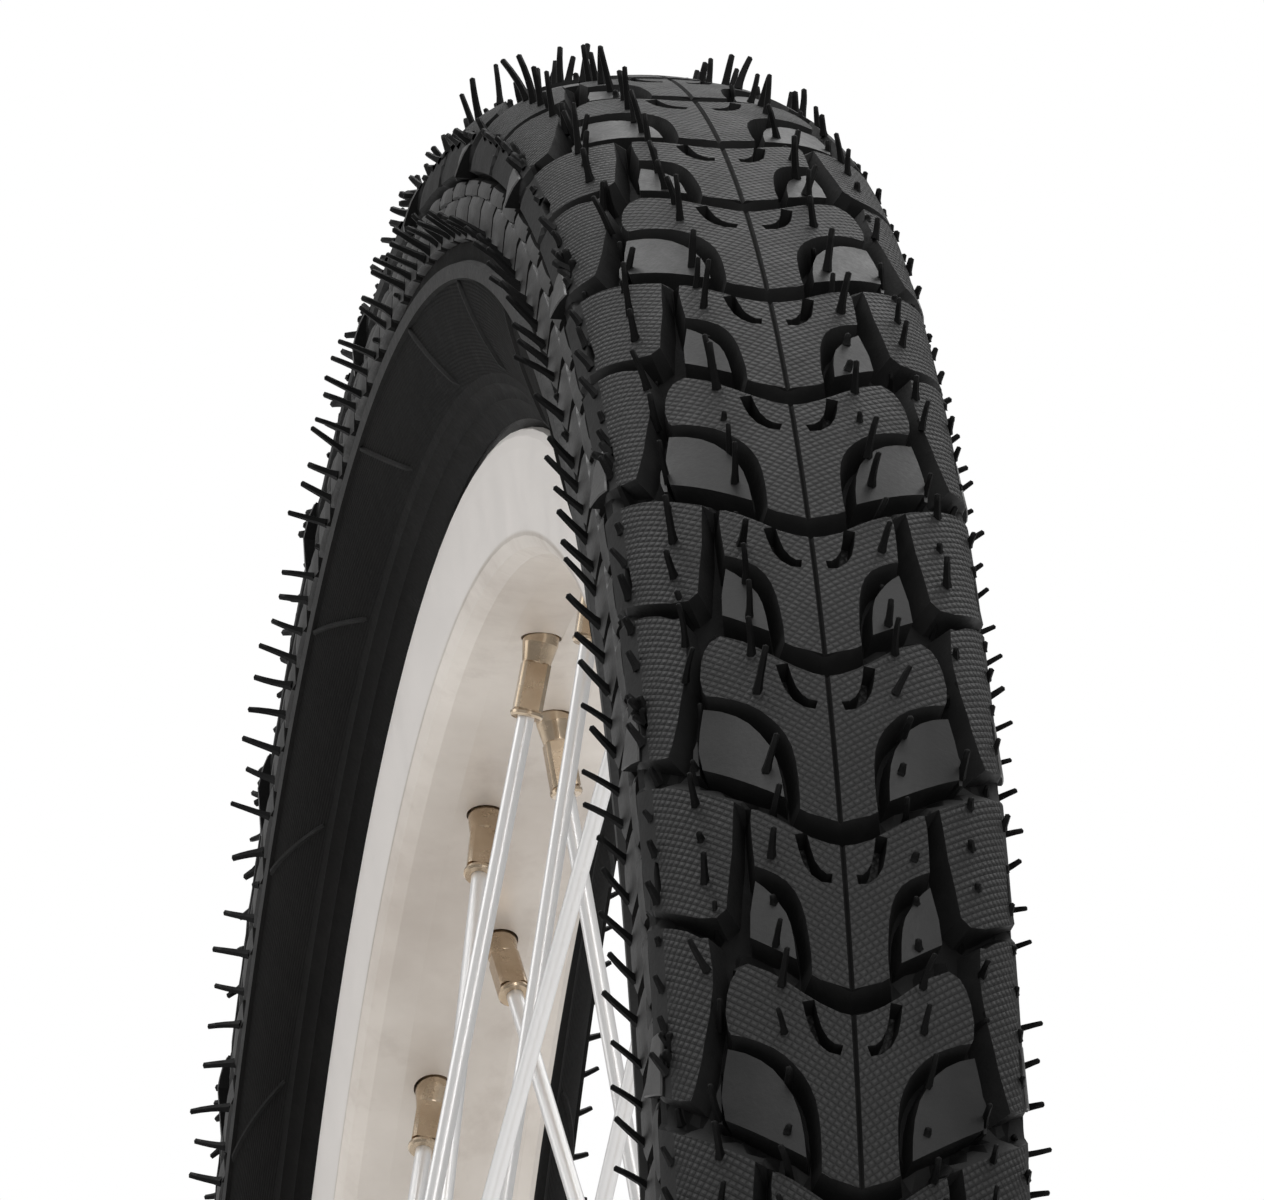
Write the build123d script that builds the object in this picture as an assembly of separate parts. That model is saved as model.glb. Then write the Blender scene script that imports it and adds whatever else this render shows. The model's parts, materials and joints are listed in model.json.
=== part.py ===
from build123d import *
import math
import os

# A 20 inch (ISO 406) bicycle tyre mounted on its wheel: tyre, tube, rim, 48 crossed
# spokes and a nutted cup-and-cone front hub. Millimetres. The wheel's centre is the
# origin, the axle lies along Y, +Z is up, and the valve is at the bottom, pointing up.

# ---- driving dimensions -------------------------------------------------------------
TYRE_R = 250.5          # crown of the tread
BEAD_SEAT_R = 203.0     # ISO 406: bead seat diameter 406
RIM_IN_HALF = 10.25     # half the rim's inside width
SPOKE_N = 48
SPOKE_R = 1.0           # 2.0 mm plain spokes
CROSSES = 4
FLANGE_PCD_R = 31.0     # spoke holes' pitch circle radius
FLANGE_Y = 30.0         # flange centre from the wheel's plane
FLANGE_T = 3.0
FLANGE_R = 33.8
NIP_Y = 2.0             # rim holes are staggered by this much
NIP_TOP_R = 196.5       # radius of a nipple head's top
AXLE_R = 4.76           # 3/8 inch axle
AXLE_HALF = 70.0
OLD_HALF = 50.0         # 100 mm over the locknuts
BALL_R = 2.38           # 3/16 inch balls
BALL_N = 10
BALL_PITCH_R = 9.2
BALL_Y = 36.0
VALVE_TIP_Z = -163.0
VALVE_TRAVEL = 1.2

os.makedirs("parts", exist_ok=True)


def save(name, obj):
    export_step(obj, "parts/%s.step" % name)


def ring(points):
    """Solid of revolution about Y from a closed outline given as (y, radius)."""
    outline = Polyline(*[(r, y) for y, r in points], close=True)
    return revolve(make_face(outline), Axis.Y, 360)


def both(half):
    """Mirror a half outline that starts on the centre line: right side, then left side."""
    left = [(-y, r) for y, r in half if y > 1e-6]
    return left[::-1] + half


def mirror_y(points):
    return [(-y, r) for y, r in points]


def ycyl(r, y0, y1):
    return Pos(0, (y0 + y1) / 2, 0) * Rot(90, 0, 0) * Cylinder(r, abs(y1 - y0))


def yhex(across, y0, y1):
    h = abs(y1 - y0)
    hexa = extrude(RegularPolygon(across / 2, 6, major_radius=False), amount=h / 2, both=True)
    return Pos(0, (y0 + y1) / 2, 0) * Rot(90, 0, 0) * hexa


def zcyl(r, z0, z1, x=0.0, y=0.0):
    return Pos(x, y, (z0 + z1) / 2) * Cylinder(r, abs(z1 - z0))


def polar(r, deg, y):
    """Point at radius r, deg from the top towards +X."""
    a = math.radians(deg)
    return Vector(r * math.sin(a), y, r * math.cos(a))


def one(obj):
    """The single solid of a result, or a compound of its solids."""
    s = list(obj.solids())
    return s[0] if len(s) == 1 else Compound(children=s)


# ---- tyre ---------------------------------------------------------------------------
# Outer line of the casing, crown to bead heel.
CAS_OUT = [(0, 244.2), (4, 244.0), (8, 243.2), (11.5, 241.8), (14.5, 239.6), (15.9, 237.9),
           (17.0, 236.2), (18.5, 232.6), (19.35, 228.0), (19.0, 223.4), (17.4, 218.8),
           (14.9, 214.8), (12.3, 211.6), (10.15, 209.0)]
HEEL = (10.15, 203.06)
TOE = (6.7, 203.06)
# Inner line, bead to crown: about 1 mm inside the outer one, thick round the bead wire.
CAS_IN = [(6.9, 206.9), (8.6, 209.6), (11.4, 212.4), (14.0, 215.4), (16.4, 219.2), (18.0, 223.6),
          (18.35, 228.0), (17.55, 232.2), (16.1, 235.7), (14.9, 237.5), (13.7, 238.9),
          (10.9, 240.9), (7.7, 242.2), (3.9, 243.0), (0, 243.2)]
BEAD_Y, BEAD_WIRE_R, BEAD_HOOP_R = 8.5, 1.05, 205.2

casing_half = CAS_OUT + [HEEL, TOE] + CAS_IN
right = casing_half[:-1]
left = mirror_y(casing_half)[1:]
casing = ring(casing_half[:-1] + [CAS_IN[-1]] + mirror_y(casing_half)[1:-1][::-1])


def bead(sign):
    wire = Pos(BEAD_HOOP_R, sign * BEAD_Y) * Circle(BEAD_WIRE_R)
    return revolve(wire, Axis.Y, 360)


def bead_hole(sign):
    wire = Pos(BEAD_HOOP_R, sign * BEAD_Y) * Circle(BEAD_WIRE_R + 0.02)
    return revolve(wire, Axis.Y, 360)


casing = casing - bead_hole(1) - bead_hole(-1)
save("casing", one(casing))
save("bead_wire_left", one(bead(-1)))
save("bead_wire_right", one(bead(1)))

BELT_TOP = [(0, 245.2), (4, 245.0), (8, 244.2), (11.8, 242.7)]
belt_half = BELT_TOP + [CAS_OUT[3], CAS_OUT[2], CAS_OUT[1], CAS_OUT[0]]
belt = ring(belt_half[:-1] + [CAS_OUT[0]] + mirror_y(belt_half)[1:-1][::-1])
save("puncture_belt", one(belt))

# Tread: shoulder edge to shoulder edge, its outer line touching every block's top.
TREAD_OUT = [(0, TYRE_R), (4, 250.3), (7.6, 249.8), (11, 249.0), (14, 247.8), (16.6, 246.3),
             (18.6, 244.4), (19.7, 242.6), (20.4, 240.4), (20.4, 237.6)]
tread_half = TREAD_OUT + [CAS_OUT[5], CAS_OUT[4], CAS_OUT[3], BELT_TOP[3], BELT_TOP[2],
                          BELT_TOP[1], BELT_TOP[0]]
tread = ring(tread_half + mirror_y(tread_half)[1:-1][::-1])
save("tread", one(tread))

SIDE_OUT = [(20.4, 237.6), (20.6, 234.5), (20.85, 230.5), (20.7, 226.5), (19.9, 222.4),
            (18.2, 218.0), (15.8, 214.1), (13.7, 211.6), (12.6, 210.8)]
side = SIDE_OUT + [CAS_OUT[12]] + CAS_OUT[5:12][::-1]
save("sidewall_right", one(ring(side)))
save("sidewall_left", one(ring(mirror_y(side))))

# ---- inner tube and rim tape --------------------------------------------------------
TUBE_OUT = [(0, 198.3), (5.4, 198.3), (6.0, 203.4), (6.5, 207.2), (8.25, 210.0), (11.1, 212.8),
            (13.7, 215.7), (16.05, 219.4), (17.6, 223.7), (17.95, 228.0), (17.2, 232.0),
            (15.75, 235.5), (14.6, 237.2), (13.45, 238.5), (10.75, 240.5), (7.6, 241.75),
            (3.85, 242.5), (0, 242.7)]
TUBE_IN = [(0, 199.3), (4.5, 199.3), (5.1, 203.8), (5.65, 207.6), (7.6, 210.7), (10.4, 213.5),
           (12.95, 216.4), (15.1, 219.8), (16.6, 223.9), (16.95, 228.0), (16.2, 231.7),
           (14.9, 234.9), (13.85, 236.5), (12.8, 237.65), (10.3, 239.55), (7.3, 240.75),
           (3.75, 241.5), (0, 241.7)]
tube = ring(TUBE_OUT + mirror_y(TUBE_OUT)[1:-1][::-1]) - ring(TUBE_IN + mirror_y(TUBE_IN)[1:-1][::-1])
tube = tube - zcyl(4.25, -205, -190)
save("inner_tube", one(tube))

tape = ring([(-5.3, 197.3), (5.3, 197.3), (5.3, 198.2), (-5.3, 198.2)])
tape = tape - zcyl(4.5, -205, -190)
save("rim_tape", one(tape))

# ---- spokes and nipples -------------------------------------------------------------
PITCH = 360.0 / SPOKE_N
HUB_ANGLE = CROSSES * 2 * PITCH
# name: (first rim hole's index, side, direction at the hub, outer elbow or not)
GROUPS = {
    "spokes_left_outer": (1, -1, -1, True),
    "spokes_left_inner": (3, -1, 1, False),
    "spokes_right_outer": (4, 1, -1, True),
    "spokes_right_inner": (2, 1, 1, False),
}


def spoke_line(first, side_sign, lean, outer):
    rim_deg = PITCH / 2 + PITCH * first
    hub_deg = rim_deg + lean * HUB_ANGLE
    top = polar(NIP_TOP_R, rim_deg, side_sign * NIP_Y)
    face_out = FLANGE_Y + FLANGE_T / 2
    face_in = FLANGE_Y - FLANGE_T / 2
    if outer:
        head_y, elbow_y = face_in - 0.15, face_out + 2.2
    else:
        head_y, elbow_y = face_out + 0.15, face_in - 1.5
    head = polar(FLANGE_PCD_R, hub_deg, side_sign * head_y)
    elbow = polar(FLANGE_PCD_R, hub_deg, side_sign * elbow_y)
    return head, elbow, top


def make_spoke(head, elbow, top):
    axis = (top - elbow).normalized()
    end = top - axis * 1.9
    path = FilletPolyline(head, elbow, end, radius=1.8)
    start_dir = (elbow - head).normalized()
    wire = sweep(Plane(origin=head, z_dir=start_dir) * Circle(SPOKE_R), path=path)
    dome = Plane(origin=head - start_dir * 0.55, z_dir=start_dir) * Cone(1.45, 1.9, 1.1)
    return one(wire + dome)


def make_nipple():
    """Along +Z from the end collar (z=0) to the top of the head; top of the head at z=12."""
    outline = [(0, 0), (1.75, 0), (1.95, 0.25), (1.95, 0.6), (1.6, 0.75), (1.6, 0.9),
               (1.6, 6.4), (1.72, 6.6), (2.12, 8.9), (2.12, 10.3), (2.65, 10.75),
               (2.65, 11.55), (2.2, 12.0), (0, 12.0)]
    body = revolve(make_face(Polyline(*[(x, 0, z) for x, z in outline], close=True)), Axis.Z, 360)
    flats = Pos(0, 0, 3.65) * (Cylinder(2.05, 5.6) & Box(3.35, 3.35, 5.6))
    body = body + flats
    bore = Pos(0, 0, 5.0) * Cylinder(SPOKE_R + 0.03, 10.6)
    slot = Pos(0, 0, 11.75) * Box(6, 0.7, 0.9)
    return one(body - bore - slot)


NIPPLE = make_nipple()
spoke_lines = {}
nipple_solids = {-1: [], 1: []}
hole_tools = []
hub_holes = {-1: [], 1: []}
for name, (first, sgn, lean, outer) in GROUPS.items():
    head, elbow, top = spoke_line(first, sgn, lean, outer)
    base = make_spoke(head, elbow, top)
    axis = (top - elbow).normalized()
    seat = Plane(origin=top, z_dir=axis)
    nip = seat * (Pos(0, 0, -12.0) * NIPPLE)
    hole = seat * (Pos(0, 0, -3.0) * Cylinder(2.35, 8.0) + Pos(0, 0, 1.5) * Cylinder(2.8, 6.2))
    n = SPOKE_N // 4
    spokes = []
    for i in range(n):
        turn = Rot(0, 360.0 / n * i, 0)
        spokes.append(one(turn * base))
        nipple_solids[sgn].append(one(turn * nip))
        hole_tools.append(turn * hole)
        hub_deg = PITCH / 2 + PITCH * first + lean * HUB_ANGLE + 360.0 / n * i
        hub_holes[sgn].append(hub_deg)
    save(name, Compound(children=spokes))
save("nipples_left", Compound(children=nipple_solids[-1]))
save("nipples_right", Compound(children=nipple_solids[1]))

# ---- rim ----------------------------------------------------------------------------
RIM_HALF = [(0, 194.1), (6.0, 194.35), (9.6, 194.9), (11.2, 195.6), (12.0, 196.9),
            (12.95, 206.9), (13.0, 208.4), (12.5, 209.2), (11.6, 209.45), (10.7, 209.2),
            (RIM_IN_HALF, 208.5), (RIM_IN_HALF, BEAD_SEAT_R), (7.0, BEAD_SEAT_R),
            (6.1, 202.0), (5.5, 197.25), (0, 197.25)]
rim = ring(RIM_HALF + mirror_y(RIM_HALF)[1:-1][::-1])
rim = rim - hole_tools
rim = rim - zcyl(4.3, -205, -188)
save("rim", one(rim))

# ---- valve, at the bottom of the wheel and pointing at the hub ------------------------
TIP = VALVE_TIP_Z
stem = zcyl(3.2, -200.6, TIP - 9.2) + zcyl(3.85, TIP - 9.2, TIP)
stem = stem - zcyl(2.35, TIP - 14.5, TIP + 1) - zcyl(2.0, -202, TIP - 10)
stem = stem - zcyl(3.4, TIP - 9.9, TIP - 9.25).cut(zcyl(3.1, TIP - 11, TIP - 8))
save("valve_stem", one(stem))

base_patch = ring([(-9.5, 199.36), (9.5, 199.36), (9.5, 200.7), (-9.5, 200.7)]) & zcyl(9.0, -205, -190)
base_patch = base_patch & (Pos(0, 0, -198) * Box(18, 9.0, 12))
sleeve = zcyl(4.2, -200.3, TIP - 10.6) + base_patch
sleeve = sleeve - zcyl(3.22, -205, TIP - 5)
save("valve_sleeve", one(sleeve))

core = zcyl(2.3, TIP - 14.0, TIP - 2.0) - zcyl(1.45, TIP - 9.0, TIP - 1) - zcyl(0.85, TIP - 15, TIP - 5)
save("valve_core_body", one(core))
pin = zcyl(0.7, TIP - 15.6, TIP - 0.8) + zcyl(1.35, TIP - 3.2, TIP - 2.6)
pin = pin + zcyl(1.7, TIP - 15.6, TIP - 14.1)
save("valve_core_pin", one(pin))

SPRING_LO, SPRING_HI = TIP - 8.98, TIP - 3.22
coil_h = SPRING_HI - SPRING_LO - 0.34
helix = Pos(0, 0, SPRING_LO + 0.17) * Helix(pitch=coil_h / 6.0, height=coil_h, radius=1.08)
start = helix @ 0
tang = helix % 0
spring = sweep(Plane(origin=start, z_dir=tang) * Circle(0.16), path=helix, is_frenet=True)
save("valve_core_spring", one(spring))

cap = zcyl(5.0, TIP - 8.6, TIP + 2.6) - zcyl(3.95, TIP - 9, TIP + 0.9)
cap = cap - [Pos(5.25 * math.cos(math.radians(a)), 5.25 * math.sin(math.radians(a)), TIP - 3.6)
             * Cylinder(0.55, 9.0) for a in range(0, 360, 30)]
save("valve_cap", one(cap))

# ---- hub ----------------------------------------------------------------------------
SHELL_HALF = [(0, 11.6), (19.0, 11.6), (23.5, 13.2), (26.4, 16.6), (28.2, 18.4),
              (FLANGE_Y - FLANGE_T / 2, 19.0), (FLANGE_Y - FLANGE_T / 2, FLANGE_R - 0.6),
              (FLANGE_Y - FLANGE_T / 2 + 0.6, FLANGE_R), (FLANGE_Y + FLANGE_T / 2 - 0.6, FLANGE_R),
              (FLANGE_Y + FLANGE_T / 2, FLANGE_R - 0.6), (FLANGE_Y + FLANGE_T / 2, 17.6),
              (32.4, 16.6), (39.6, 16.0), (40.5, 15.2), (40.5, 13.2), (32.2, 13.2), (32.2, 8.6),
              (0, 8.6)]
shell = ring(SHELL_HALF + mirror_y(SHELL_HALF)[1:-1][::-1])
tools = []
for sgn in (-1, 1):
    for deg in hub_holes[sgn]:
        p = polar(FLANGE_PCD_R, deg, 0)
        tools.append(Pos(p.X, sgn * FLANGE_Y, p.Z) * Rot(90, 0, 0) * Cylinder(1.22, 6))
    for k in range(8):
        p = polar(24.2, 22.5 + 45 * k, 0)
        tools.append(Pos(p.X, sgn * FLANGE_Y, p.Z) * Rot(90, 0, 0) * Cylinder(3.6, 3.4))
shell = shell - tools
save("hub_shell", one(shell))

RACE = BALL_R + 0.06


def arc_pts(cr, cy, rad, a0, a1, n=9):
    """Points on an arc in the (radius, y) plane; 0 deg points outwards, 90 deg outboard."""
    out = []
    for i in range(n):
        a = math.radians(a0 + (a1 - a0) * i / (n - 1))
        out.append((cy + rad * math.sin(a), cr + rad * math.cos(a)))
    return out


for sgn, tag in ((-1, "left"), (1, "right")):
    flip = (lambda pts: mirror_y(pts)) if sgn < 0 else (lambda pts: pts)
    # cup: race on the ball's outer, inboard quarter
    race = [(BALL_Y - RACE, BALL_PITCH_R - 0.6)]
    q0, q1 = (BALL_PITCH_R + RACE, BALL_Y), (BALL_PITCH_R, BALL_Y - RACE)
    mid = (BALL_PITCH_R + RACE * math.sqrt(0.5), BALL_Y - RACE * math.sqrt(0.5))
    s = sgn
    cup_wire = Wire([
        Edge.make_line((13.17, s * 32.22), (13.17, s * 39.0)),
        Edge.make_line((13.17, s * 39.0), (12.1, s * 39.0)),
        Edge.make_line((12.1, s * 39.0), (q0[0], s * q0[1])),
        Edge.make_three_point_arc((q0[0], s * q0[1]), (mid[0], s * mid[1]), (q1[0], s * q1[1])),
        Edge.make_line((q1[0], s * q1[1]), (7.5, s * 33.3)),
        Edge.make_line((7.5, s * 33.3), (7.5, s * 32.22)),
        Edge.make_line((7.5, s * 32.22), (13.17, s * 32.22)),
    ])
    save("bearing_cup_%s" % tag, one(revolve(make_face(cup_wire), Axis.Y, 360)))
    # cone: race on the ball's inner, outboard quarter
    a0, a1 = math.radians(138), math.radians(172)
    am = (a0 + a1) / 2
    c0 = (BALL_PITCH_R + RACE * math.cos(a0), BALL_Y + RACE * math.sin(a0))
    c1 = (BALL_PITCH_R + RACE * math.cos(a1), BALL_Y + RACE * math.sin(a1))
    cm = (BALL_PITCH_R + RACE * math.cos(am), BALL_Y + RACE * math.sin(am))
    cone_wire = Wire([
        Edge.make_line((AXLE_R + 0.03, s * 44.78), (c0[0], s * 44.78)),
        Edge.make_line((c0[0], s * 44.78), (c0[0], s * c0[1])),
        Edge.make_three_point_arc((c0[0], s * c0[1]), (cm[0], s * cm[1]), (c1[0], s * c1[1])),
        Edge.make_line((c1[0], s * c1[1]), (6.3, s * 35.2)),
        Edge.make_line((6.3, s * 35.2), (6.3, s * 33.9)),
        Edge.make_line((6.3, s * 33.9), (AXLE_R + 0.03, s * 33.9)),
        Edge.make_line((AXLE_R + 0.03, s * 33.9), (AXLE_R + 0.03, s * 44.78)),
    ])
    cone = revolve(make_face(cone_wire), Axis.Y, 360)
    flats = ycyl(9, s * 41.6, s * 44.9) - (Pos(0, s * 43.25, 0) * Box(13.0, 4, 20))
    cone = cone - flats
    save("cone_%s" % tag, one(cone))
    # balls and their retainer
    balls = []
    pockets = []
    for k in range(BALL_N):
        p = polar(BALL_PITCH_R, 360.0 / BALL_N * k, s * BALL_Y)
        balls.append(one(Pos(p.X, p.Y, p.Z) * Sphere(BALL_R)))
        pockets.append(Pos(p.X, p.Y, p.Z) * Sphere(BALL_R + 0.03))
    save("balls_%s" % tag, Compound(children=balls))
    cage = ring(flip([(BALL_Y + 1.2, 8.7), (BALL_Y + 1.2, 11.3), (BALL_Y + 2.1, 11.3),
                      (BALL_Y + 2.1, 8.7)]))
    cage = cage - pockets
    save("ball_retainer_%s" % tag, one(cage))
    # dust cap pressed into the hub shell
    dust = ring(flip([(39.1, 12.0), (39.1, 13.17), (40.3, 13.17), (40.9, 12.6), (40.9, 8.0),
                      (40.2, 8.0), (40.2, 12.0)]))
    save("dust_cap_%s" % tag, one(dust))
    # clamping stack on the axle
    save("keyed_washer_%s" % tag, one(ycyl(8.4, s * 44.8, s * 45.98) - ycyl(AXLE_R + 0.03, s * 44, s * 47)))
    nut = yhex(17.0, s * 46.0, s * OLD_HALF) & ycyl(9.45, s * 46.0, s * OLD_HALF)
    save("locknut_%s" % tag, one(nut - ycyl(AXLE_R + 0.03, s * 45, s * 51)))
    save("axle_washer_%s" % tag, one(ycyl(9.6, s * 55.0, s * 56.58) - ycyl(AXLE_R + 0.1, s * 54, s * 58)))
    hexnut = (yhex(15.0, s * 56.6, s * 64.6) & ycyl(8.35, s * 56.6, s * 64.6)) + ycyl(9.0, s * 56.6, s * 57.8)
    save("axle_nut_%s" % tag, one(hexnut - ycyl(AXLE_R + 0.03, s * 56, s * 66)))

axle = ycyl(AXLE_R, -AXLE_HALF, AXLE_HALF)
axle = chamfer(axle.edges(), 0.7)
save("axle", one(axle))
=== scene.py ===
import bpy
import math
import json
import random
import bmesh
import numpy as np
from mathutils import Vector, Matrix
from mathutils.geometry import delaunay_2d_cdt


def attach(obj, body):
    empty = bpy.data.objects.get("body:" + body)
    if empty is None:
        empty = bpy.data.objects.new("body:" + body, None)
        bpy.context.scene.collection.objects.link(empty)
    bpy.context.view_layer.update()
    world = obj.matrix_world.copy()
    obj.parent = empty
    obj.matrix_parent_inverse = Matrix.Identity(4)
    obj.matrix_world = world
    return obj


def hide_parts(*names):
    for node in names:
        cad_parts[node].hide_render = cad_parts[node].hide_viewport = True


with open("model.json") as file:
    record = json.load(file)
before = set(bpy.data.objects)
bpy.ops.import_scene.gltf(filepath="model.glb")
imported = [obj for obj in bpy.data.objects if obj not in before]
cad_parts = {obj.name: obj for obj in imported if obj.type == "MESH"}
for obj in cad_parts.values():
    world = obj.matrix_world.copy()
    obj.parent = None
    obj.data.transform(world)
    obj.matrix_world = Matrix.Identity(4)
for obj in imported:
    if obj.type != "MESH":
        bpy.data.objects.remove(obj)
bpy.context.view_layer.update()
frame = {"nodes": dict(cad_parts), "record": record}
nodes = frame["nodes"]
scene = bpy.context.scene
scene.view_settings.view_transform = "Standard"
scene.view_settings.look = "None"
rng = random.Random(4061)

# ---------------------------------------------------------------- tyre section
RO = 250.5
PERIODS = 32
P = 2 * math.pi * RO / PERIODS          # length of one tread pitch at the crown, mm
U0 = 180.9                              # where the pattern's pitch starts, mm round from the top
SEC = [(0.0, 0.0, 250.5), (4.0, 4.0, 250.3), (7.64, 7.6, 249.8), (11.13, 11.0, 249.0),
       (14.36, 14.0, 247.8), (17.37, 16.6, 246.3), (20.12, 18.6, 244.4), (22.23, 19.7, 242.6),
       (24.54, 20.4, 240.4), (27.34, 20.55, 237.6), (30.45, 20.7, 234.5), (34.46, 20.85, 230.5),
       (38.46, 20.7, 226.5), (42.6, 19.9, 222.4), (47.3, 18.2, 218.0), (51.9, 15.8, 214.1),
       (55.1, 13.75, 211.7), (57.0, 12.6, 210.2)]
SEC_S = np.array([a for a, b, c in SEC])
SEC_Y = np.array([b for a, b, c in SEC])
SEC_R = np.array([c for a, b, c in SEC])


def slopes(x, v):
    d = np.diff(v) / np.diff(x)
    h = np.diff(x)
    m = np.empty(len(v))
    m[1:-1] = (d[:-1] * h[1:] + d[1:] * h[:-1]) / (h[:-1] + h[1:])
    m[0], m[-1] = d[0], d[-1]
    return m


SEC_MY = slopes(SEC_S, SEC_Y)
SEC_MR = slopes(SEC_S, SEC_R)
SEC_MY[0], SEC_MR[0] = 1.0, 0.0


def hermite(s, v, m):
    i = np.clip(np.searchsorted(SEC_S, s, side="right") - 1, 0, len(SEC_S) - 2)
    h = SEC_S[i + 1] - SEC_S[i]
    t = (s - SEC_S[i]) / h
    t2, t3 = t * t, t * t * t
    val = (2 * t3 - 3 * t2 + 1) * v[i] + (t3 - 2 * t2 + t) * h * m[i] + (-2 * t3 + 3 * t2) * v[i + 1] + (t3 - t2) * h * m[i + 1]
    der = ((6 * t2 - 6 * t) * v[i] + (3 * t2 - 4 * t + 1) * h * m[i] + (-6 * t2 + 6 * t) * v[i + 1] + (3 * t2 - 2 * t) * h * m[i + 1]) / h
    return val, der


def section(s, depth=0.0):
    """(y, R) of the point s mm round the section from the crown, depth mm under the outline."""
    s = np.abs(np.asarray(s, float))
    y, dy = hermite(s, SEC_Y, SEC_MY)
    r, dr = hermite(s, SEC_R, SEC_MR)
    n = np.sqrt(dy * dy + dr * dr)
    ny, nr = -dr / n, dy / n
    return y - depth * ny, r - depth * nr, ny, nr


def place(s, u, depth=0.0):
    """Metre coordinates of section position s, circumference position u and depth, all in mm."""
    s, u = np.asarray(s, float), np.asarray(u, float)
    y, r, _, _ = section(s, depth)
    y = y * np.where(s < 0, -1.0, 1.0)
    th = (u + U0) / RO
    return np.stack([r * np.sin(th), y, r * np.cos(th)], -1) * 0.001


# ---------------------------------------------------------------- tread pattern, one pitch, mm
S_END = 27.3
CW = [(0, 3.5), (1.5, 3.1), (3.4, 2.0), (5.2, 0.6), (7.6, -1.6), (9.0, -2.7), (10.2, -3.4), (11.3, -4.1),
      (12.6, -3.4), (13.3, -2.2), (13.8, -0.5), (14.1, 2.0), (13.9, 4.3), (13.6, 5.0), (12.2, 5.6),
      (10.6, 6.5), (9.0, 7.5), (7.8, 8.6), (6.7, 10.0), (5.9, 11.2), (5.2, 12.7), (4.65, 14.5),
      (4.35, 16.8), (4.25, 19.4), (4.25, 22.0), (4.35, 23.8), (3.4, 24.5), (0, 25.8)]
IW = [(14.2, 6.5), (12.2, 7.5), (10.5, 8.7), (9.2, 10.0), (8.1, 11.7), (7.1, 13.7), (6.45, 16.1),
      (6.1, 18.7), (5.95, 21.6), (10.4, 18.7), (14.9, 15.7), (15.2, 12.6), (14.8, 9.6)]
CN = [(0, 29.2), (1.5, 28.9), (3.4, 28.0), (5.2, 26.5), (7.4, 24.7), (9.0, 23.6), (9.7, 23.4), (9.9, 25.0),
      (9.9, 28.0), (9.8, 31.6), (8.6, 32.3), (7.5, 33.1), (6.4, 34.2), (5.6, 35.6), (5.05, 37.2),
      (4.65, 39.3), (4.4, 42.0), (4.25, 44.5), (4.3, 47.2), (3.4, 47.9), (0, 49.186)]
IN = [(9.9, 33.4), (9.0, 34.4), (8.2, 35.5), (7.4, 36.9), (6.7, 38.3), (6.3, 39.9), (6.05, 42.0),
      (5.9, 44.7), (8.5, 42.9), (10.9, 41.2), (10.7, 37.8)]
SW = [(15.6, -8.8), (15.3, -4.0), (15.4, -2.0), (15.9, 1.5), (16.7, 5.0), (17.2, 7.5), (18.2, 10.8),
      (18.8, 12.2), (20.5, 11.4), (23.0, 9.5), (25.0, 7.7), (27.9, 5.2), (27.9, -17.6), (25.5, -15.8),
      (23.0, -14.1), (20.0, -12.1), (18.0, -10.6), (16.5, -9.1)]
SN = [(11.6, 21.9), (11.9, 25.0), (12.2, 29.0), (12.8, 33.0), (13.3, 37.0), (14.5, 37.9), (16.5, 37.3),
      (18.5, 36.0), (20.5, 34.5), (24.0, 31.5), (27.9, 28.4), (27.9, 10.5), (25.0, 12.6), (23.0, 14.0),
      (20.0, 16.2), (17.0, 18.2), (14.8, 19.7)]
# sloping shelf above the narrow row's shoulder block and above the wide block's outer corner
SHELF_N = [(9.3, 22.6), (11.6, 21.9), (14.8, 19.7), (17.0, 18.2), (20.0, 16.2), (20.0, 14.2), (17.0, 16.0),
           (14.8, 17.4), (12.0, 19.3)]
SHELF_W = [(11.3, -4.1), (12.6, -3.4), (13.4, -5.0), (13.6, -7.4), (12.4, -7.2), (11.4, -5.6)]
FACET_W = [(15.5, 10.2), (16.1, 11.4), (16.3, 13.4), (16.0, 15.4), (15.55, 15.6), (15.55, 12.6)]
HOOK_W = [(4.9, 1.5), (4.6, 3.6), (4.2, 5.4), (3.5, 6.9), (2.6, 7.8), (1.5, 8.1)]
HOOK_N = [(4.5, 27.4), (4.2, 29.6), (3.8, 31.6), (3.1, 33.0), (2.3, 33.8), (1.4, 33.9)]
# pockets cut at the outer ends of the shoulder blocks
POCKET_W = [(21.3, 2.2), (22.2, 1.6), (22.9, 2.6), (22.8, 5.2), (22.1, 6.2), (21.3, 5.2)]
POCKET_N = [(21.5, 26.4), (22.3, 25.6), (22.7, 27.0), (22.7, 30.6), (22.0, 31.6), (21.3, 30.2)]



def area2(p):
    return sum(p[i][0] * p[(i + 1) % len(p)][1] - p[(i + 1) % len(p)][0] * p[i][1] for i in range(len(p)))


def resample(p, step, closed=True):
    out = []
    n = len(p) if closed else len(p) - 1
    for i in range(n):
        a, b = p[i], p[(i + 1) % len(p)]
        d = math.dist(a, b)
        k = max(1, int(math.ceil(d / step)))
        for j in range(k):
            out.append((a[0] + (b[0] - a[0]) * j / k, a[1] + (b[1] - a[1]) * j / k))
    if not closed:
        out.append(p[-1])
    return out


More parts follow.
